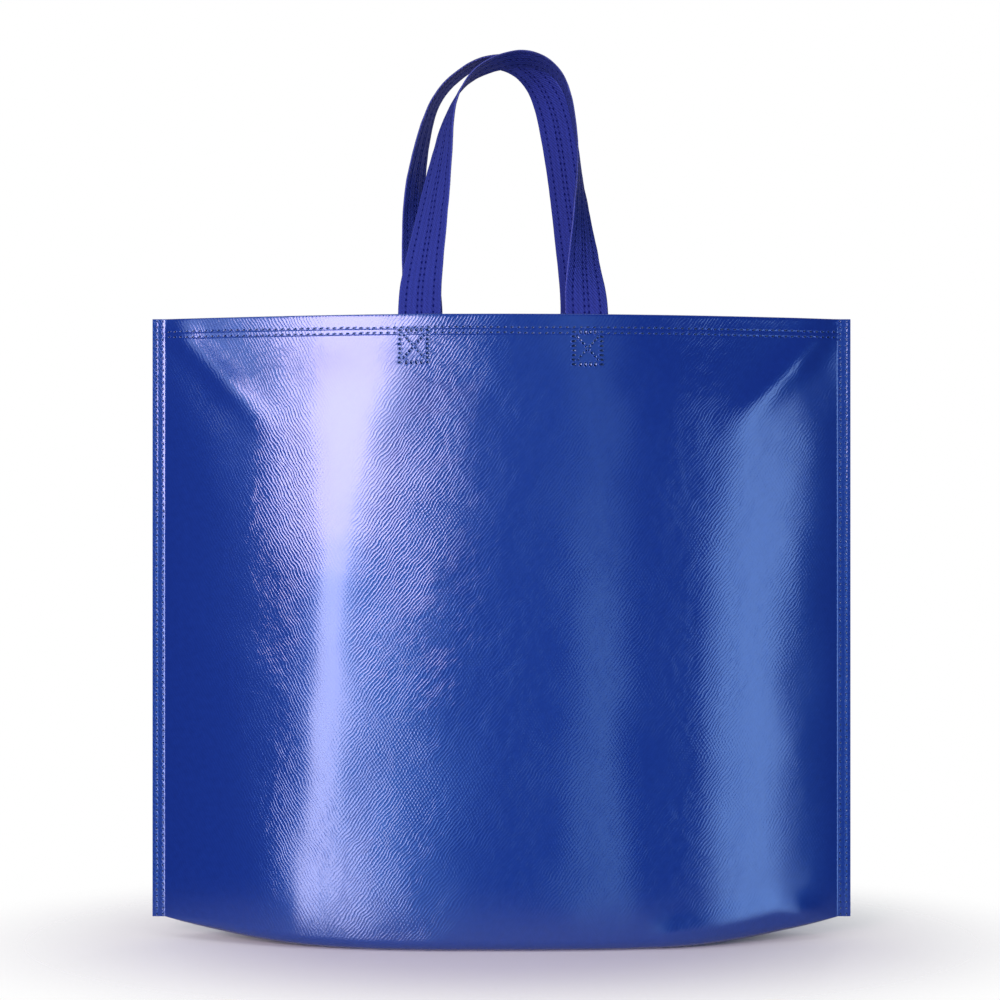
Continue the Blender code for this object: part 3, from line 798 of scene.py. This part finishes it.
def makeMark(name, sides, dark):
    # one pressed mark, one unit long and wide: a raised lip round a sunk middle
    shape = bmesh.new()
    turns = np.linspace(0, 2 * math.pi, sides, endpoint=False)
    rings = [[shape.verts.new((r * math.cos(a), r * math.sin(a), h)) for a in turns] for r, h in markShape["profile"]]
    for lower, upper in zip(rings, rings[1:]):
        for k in range(sides):
            shape.faces.new((lower[k], lower[(k + 1) % sides], upper[(k + 1) % sides], upper[k]))
    shape.faces.new(rings[-1])
    shape.faces.new(rings[0][::-1])
    mesh = bpy.data.meshes.new(name)
    shape.to_mesh(mesh)
    shape.free()
    radius = [v.co.xy.length for v in mesh.vertices]
    edge = markShape["darkEdge"]
    # the sunk middle takes the dark colour, painted shade in the pit
    layValues(mesh, "sunk", smoothStep(dark + edge, dark - edge, radius))
    mesh.shade_smooth()
    return newObject(name, mesh)


def makeMarks(name, paths, values, surface, material):
    # paths: lists of points, each with the turn of its marks in radians
    vertices, edges, turns = [], [], []
    for points, turn in paths:
        start = len(vertices)
        vertices += [tuple(float(c) for c in p) for p in points]
        turns += [turn] * len(points)
        edges += [(start + k, start + k + 1) for k in range(len(points) - 1)]
    mesh = bpy.data.meshes.new(name)
    mesh.from_pydata(vertices, edges, [])
    layValues(mesh, "turn", turns)
    holder = newObject(name + "Paths", mesh)
    modifier = holder.modifiers.new("marks", 'NODES')
    modifier.node_group = markTree
    wanted = {key.capitalize(): value for key, value in values.items()}
    wanted.update({"Surface": surface, "Finish": material})
    for socket in markTree.interface.items_tree:
        if socket.in_out == 'INPUT' and socket.name in wanted:
            modifier[socket.identifier] = wanted[socket.name]      # inputs go by identifier, not by name
    depsgraph = bpy.context.evaluated_depsgraph_get()
    depsgraph.update()
    result = bpy.data.meshes.new_from_object(holder.evaluated_get(depsgraph), depsgraph=depsgraph)
    result.name = name
    bpy.data.objects.remove(holder)
    print(name, len(result.polygons), "faces")
    return newObject(name, result, () if result.materials else [material])


markTree = makeMarkTree()
longMark = makeMark("longMark", *markShape["long"])
dotMark = makeMark("dotMark", *markShape["dot"])

# Marks of each kind: their pitch and size in metres, and how far chance turns them, in radians
hemValues = {"mark": longMark, "pitch": 0.0043, "length": 0.0034, "breadth": 0.0017, "height": 0.00036,
             "wander": 0.25, "seed": 1}
seamValues = {"mark": longMark, "pitch": 0.0039, "length": 0.0030, "breadth": 0.0015, "height": 0.00030,
              "wander": 0.35, "seed": 2}
crossValues = {"mark": longMark, "pitch": 0.0026, "length": 0.0047, "breadth": 0.0026, "height": 0.00042,
               "wander": 0.2, "seed": 3}
dotValues = {"mark": dotMark, "pitch": 0.0040, "length": 0.0023, "breadth": 0.0016, "height": 0.00012,
             "wander": 0.3, "seed": 4}

# Where the rows run on each panel
rowValues = {
    "hemPoints": 240, "seamPoints": 200, "boxPoints": 12,
    "hemReach": 0.214, "hemDrops": ((0.0085, 21), (0.0120, 22)), "hemWaver": (0.0003, 0.02), "hemTurn": 0.25,
    "seamReach": (0.0145, 0.3965), "seamInsets": ((0.0028, 23), (0.0067, 24)), "seamWaver": (0.00025, 0.012),
    "seamTurn": 0.1, "seamFace": 0.0010,
    "boxes": ((-0.0548, 0.3777), (0.0540, 0.3764)),       # middles of the crossed boxes, x and z
    "boxHalfWidth": 0.0087, "boxHalfHeight": 0.0102, "boxInset": 0.004,
    "crossHalfWidth": 0.0064, "crossSlope": 1.1,
    "panelLift": 0.0004, "strapLift": 0.0009,
}


def onPanel(x, z, side):
    return np.stack([x, side * (panelDepth(x, z, side) + rowValues["panelLift"]), z], 1)


hemPaths, seamPaths, crossPaths = [], [], []
across = math.pi / 2
for side in (-1, 1):
    x = np.linspace(-rowValues["hemReach"], rowValues["hemReach"], rowValues["hemPoints"])
    reach, size = rowValues["hemWaver"]
    for drop, seed in rowValues["hemDrops"]:
        z = rimHeight - drop + reach * softNoise(x, x * 0, size, seed)
        hemPaths.append((onPanel(x, z, side), rowValues["hemTurn"]))
    z = np.linspace(*rowValues["seamReach"], rowValues["seamPoints"])
    face = np.full(z.shape, side * rowValues["seamFace"])
    reach, size = rowValues["seamWaver"]
    for edge in (-1, 1):
        for inset, seed in rowValues["seamInsets"]:
            x = edge * (bagShape["width"] / 2 - inset) + reach * softNoise(z, z * 0, size, seed)
            seamPaths.append((np.stack([x, face, z], 1), rowValues["seamTurn"]))
    for middle, height in rowValues["boxes"]:
        left, right = middle - rowValues["boxHalfWidth"], middle + rowValues["boxHalfWidth"]
        low, high = height - rowValues["boxHalfHeight"], height + rowValues["boxHalfHeight"]
        points, inset = rowValues["boxPoints"], rowValues["boxInset"]
        for x in (left, right):
            z = np.linspace(low, high, points)
            crossPaths.append((onPanel(np.full(points, x), z, side), across))
        for z in (low, high):
            x = np.linspace(left + inset, right - inset, points)
            crossPaths.append((onPanel(x, np.full(points, z), side), across))
        x = np.linspace(middle - rowValues["crossHalfWidth"], middle + rowValues["crossHalfWidth"], points)
        for slope in (-rowValues["crossSlope"], rowValues["crossSlope"]):
            crossPaths.append((onPanel(x, height + slope * (x - middle), side), 0.0))

hemWelds = makeMarks("hemWelds", hemPaths, hemValues, bagShell, fusedFilm)
seamWelds = makeMarks("seamWelds", seamPaths, seamValues, bagShell, fusedFilm)
crossWelds = makeMarks("crossWelds", crossPaths, crossValues, bagShell, fusedFilm)

strapRows = {}
for name, grid, normal, strap in (("frontDots", frontGrid, frontNormal, frontStrap),
                                  ("backDots", backGrid, backNormal, backStrap)):
    paths = []
    for row in strapValues["weldRows"]:
        place = (row / strapValues["width"] + 0.5) * strapValues["strips"]
        low = int(place)
        line = grid[:, low] + (grid[:, low + 1] - grid[:, low]) * (place - low)
        for face in (-1, 1):
            paths.append((line + normal[:, low] * face * rowValues["strapLift"], 0.0))
    strapRows[name] = makeMarks(name, paths, dotValues, strap, fusedTape)
frontDots, backDots = strapRows["frontDots"], strapRows["backDots"]
for item in (longMark, dotMark):
    bpy.data.objects.remove(item)
print("weld marks made")


studioValues = {
    "distance": 1.6,
    # each strip box: azimuths from the front (right is positive), heights, radiance, colour
    "boxes": {
        "keyLow": ((-33.0, -20.5), (-0.45, 0.28), 7.6, "F8EAFF"),
        "keyHigh": ((-38.0, -15.0), (0.28, 0.95), 12.0, "FFDEEC"),
        "keyHighTail": ((-15.0, -10.0), (0.34, 0.95), 4.6, "FFF0FA"),
        "keyHighFade": ((-10.0, -4.5), (0.34, 0.95), 1.3, "A8D0FF"),
        "keyCorner": ((-50.0, -38.0), (0.50, 0.95), 1.6, "D8E6FF"),
        "tailNear": ((-20.5, -13.0), (-0.45, 0.31), 1.9, "A4D2FF"),
        "tailFar": ((-13.0, -5.0), (-0.45, 0.31), 0.9, "9CCCFF"),
        "middleStrip": ((8.0, 17.5), (-0.45, 0.28), 1.5, "A8D8FF"),
        "middleHigh": ((7.0, 19.0), (0.28, 0.95), 0.7, "A8D8FF"),
        "rightNear": ((35.0, 42.0), (-0.45, 0.53), 1.3, "B8DAFF"),
        "rightWide": ((42.0, 56.0), (-0.45, 0.53), 3.3, "B8DAFF"),
        "backLeft": ((151.0, 160.0), (-0.45, 0.95), 6.0, "FFF4FF"),
        "backRight": ((-143.0, -155.0), (-0.45, 0.95), 2.2, "C8DEFF"),
    },
    "topBox": {"size": (1.2, 1.2), "energy": 5.0, "colour": "FFFFFF", "place": (-0.3, -0.2, 1.7)},
    "flagDistance": 2.3, "flagHeights": (-1.6, 3.2), "flagSides": 64,
    "felt": {"shader": {"Base Color": linearColour("222225"), "Roughness": 1.0}},
    "paper": {"shader": {"Base Color": linearColour("F4F4F6"), "Roughness": 0.9, "Specular IOR Level": 0.1}},
    "paperRadius": 1.6, "paperSides": 96,
    "paperOval": (0.62, 1.0, 1.0), "paperFades": (0.07, 0.25),     # the shadow's paper fades out round the bag
    "ambient": (0.9, 0.93, 1.0, 1.0), "ambientStrength": 0.28,
    "lens": 72.56, "sensor": 36.0, "eye": (-0.00097, -1.300, 0.2814),       # in mm, and in metres
}


def makeFloor():
    mesh = bpy.data.meshes.new("floor")
    shape = bmesh.new()
    bmesh.ops.create_circle(shape, cap_ends=True, segments=studioValues["paperSides"],
                            radius=studioValues["paperRadius"])
    shape.to_mesh(mesh)
    shape.free()
    # Matt white paper: a soft shadow and no sheen, and clear away from the bag and from below
    material, tree, shader = newMaterial("palePaper", studioValues["paper"])
    place = addNode(tree, "ShaderNodeTexCoord")["Object"]
    oval = addNode(tree, "ShaderNodeVectorMath", (place, studioValues["paperOval"]), operation='MULTIPLY')[0]
    reach = addNode(tree, "ShaderNodeVectorMath", (oval,), operation='LENGTH')["Value"]
    start, end = studioValues["paperFades"]
    fade = addNode(tree, "ShaderNodeMapRange", {"Value": reach, "From Min": start, "From Max": end},
                   interpolation_type='SMOOTHSTEP')[0]
    below = addNode(tree, "ShaderNodeNewGeometry")["Backfacing"]
    fade = addNode(tree, "ShaderNodeMath", (fade, below), operation='MAXIMUM')[0]
    clear = addNode(tree, "ShaderNodeBsdfTransparent")[0]
    mix = addNode(tree, "ShaderNodeMixShader", (fade, shader.outputs[0], clear))[0]
    tree.links.new(mix, tree.nodes["Material Output"].inputs["Surface"])
    floor = newObject("floor", mesh, [material])
    floor.visible_diffuse = False                 # the base keeps the soft light from all round
    return floor


def makeWorld():
    world = bpy.data.worlds.new("studio")
    bpy.context.scene.world = world
    world.use_nodes = True
    tree = world.node_tree
    rays = addNode(tree, "ShaderNodeLightPath")
    seen = rays["Is Camera Ray"]
    for name in ("Is Glossy Ray", "Is Transmission Ray"):
        seen = addNode(tree, "ShaderNodeMath", (seen, rays[name]), operation='MAXIMUM')[0]
    ambient = tree.nodes["Background"]
    ambient.inputs["Color"].default_value = studioValues["ambient"]
    ambient.inputs["Strength"].default_value = studioValues["ambientStrength"]
    white = addNode(tree, "ShaderNodeBackground", {"Color": (1.0, 1.0, 1.0, 1.0), "Strength": 1.0})[0]
    mix = addNode(tree, "ShaderNodeMixShader", (seen, ambient.outputs[0], white))[0]
    tree.links.new(mix, tree.nodes["World Output"].inputs["Surface"])


def addLamp(name, size, energy, colour, place):
    light = bpy.data.lights.new(name, 'AREA')
    light.shape = 'RECTANGLE'
    light.size, light.size_y = size
    light.energy, light.color = energy, linearColour(colour)[:3]
    lamp = newObject(name, light)
    lamp.location = place
    return lamp


def addSoftbox(name, azimuths, heights, radiance, colour):
    # an upright soft box that faces the bag
    distance = studioValues["distance"]
    width = 2.0 * distance * math.tan(math.radians(abs(azimuths[1] - azimuths[0]) / 2))
    height = heights[1] - heights[0]
    turn = math.radians(sum(azimuths) / 2)
    place = (math.sin(turn) * distance, -math.cos(turn) * distance, sum(heights) / 2)
    lamp = addLamp(name, (width, height), radiance * math.pi * width * height, colour, place)
    lamp.rotation_euler = Vector((-place[0], -place[1], 0.0)).to_track_quat('-Z', 'Y').to_euler()


def makeFlags():
    # black felt behind the lamps and under the paper, so that the gloss has something dark to mirror
    shape = bmesh.new()
    rail, distance = [], studioValues["flagDistance"]
    for azimuth in np.linspace(0.0, 2.0 * math.pi, studioValues["flagSides"], endpoint=False):
        x, y = math.sin(azimuth) * distance, -math.cos(azimuth) * distance
        rail.append([shape.verts.new((x, y, z)) for z in studioValues["flagHeights"]])
    for first, second in zip(rail, rail[1:] + rail[:1]):
        shape.faces.new((first[0], first[1], second[1], second[0]))
    shape.faces.new([pair[0] for pair in rail])
    mesh = bpy.data.meshes.new("flags")
    shape.to_mesh(mesh)
    shape.free()
    flags = newObject("flags", mesh, [newMaterial("blackFelt", studioValues["felt"])[0]])
    flags.visible_camera = False
    flags.visible_diffuse = False
    flags.visible_shadow = False
    return flags


floor = makeFloor()
flags = makeFlags()
makeWorld()
for name, box in studioValues["boxes"].items():
    addSoftbox(name, *box)
addLamp("topBox", **studioValues["topBox"])

camera = bpy.data.cameras.new("camera")
camera.lens = studioValues["lens"]
camera.sensor_width = studioValues["sensor"]
eye = newObject("camera", camera)
eye.location = studioValues["eye"]
eye.rotation_euler = (math.radians(90.0), 0.0, 0.0)      # level, as in the photograph
bpy.context.scene.camera = eye
bpy.context.scene.view_settings.view_transform = 'Standard'
print("studio made")


for piece in (bagShell, hemWelds, seamWelds, crossWelds, frontStrap, frontDots, backStrap, backDots):
    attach(piece, "root")
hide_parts("bag_body")
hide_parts("front_handle")
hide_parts("back_handle")
floor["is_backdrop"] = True
flags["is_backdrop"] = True

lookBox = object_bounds()
({"cad": [list(map(float, corner)) for corner in cadBox],
           "look": [list(map(float, corner)) for corner in lookBox]})
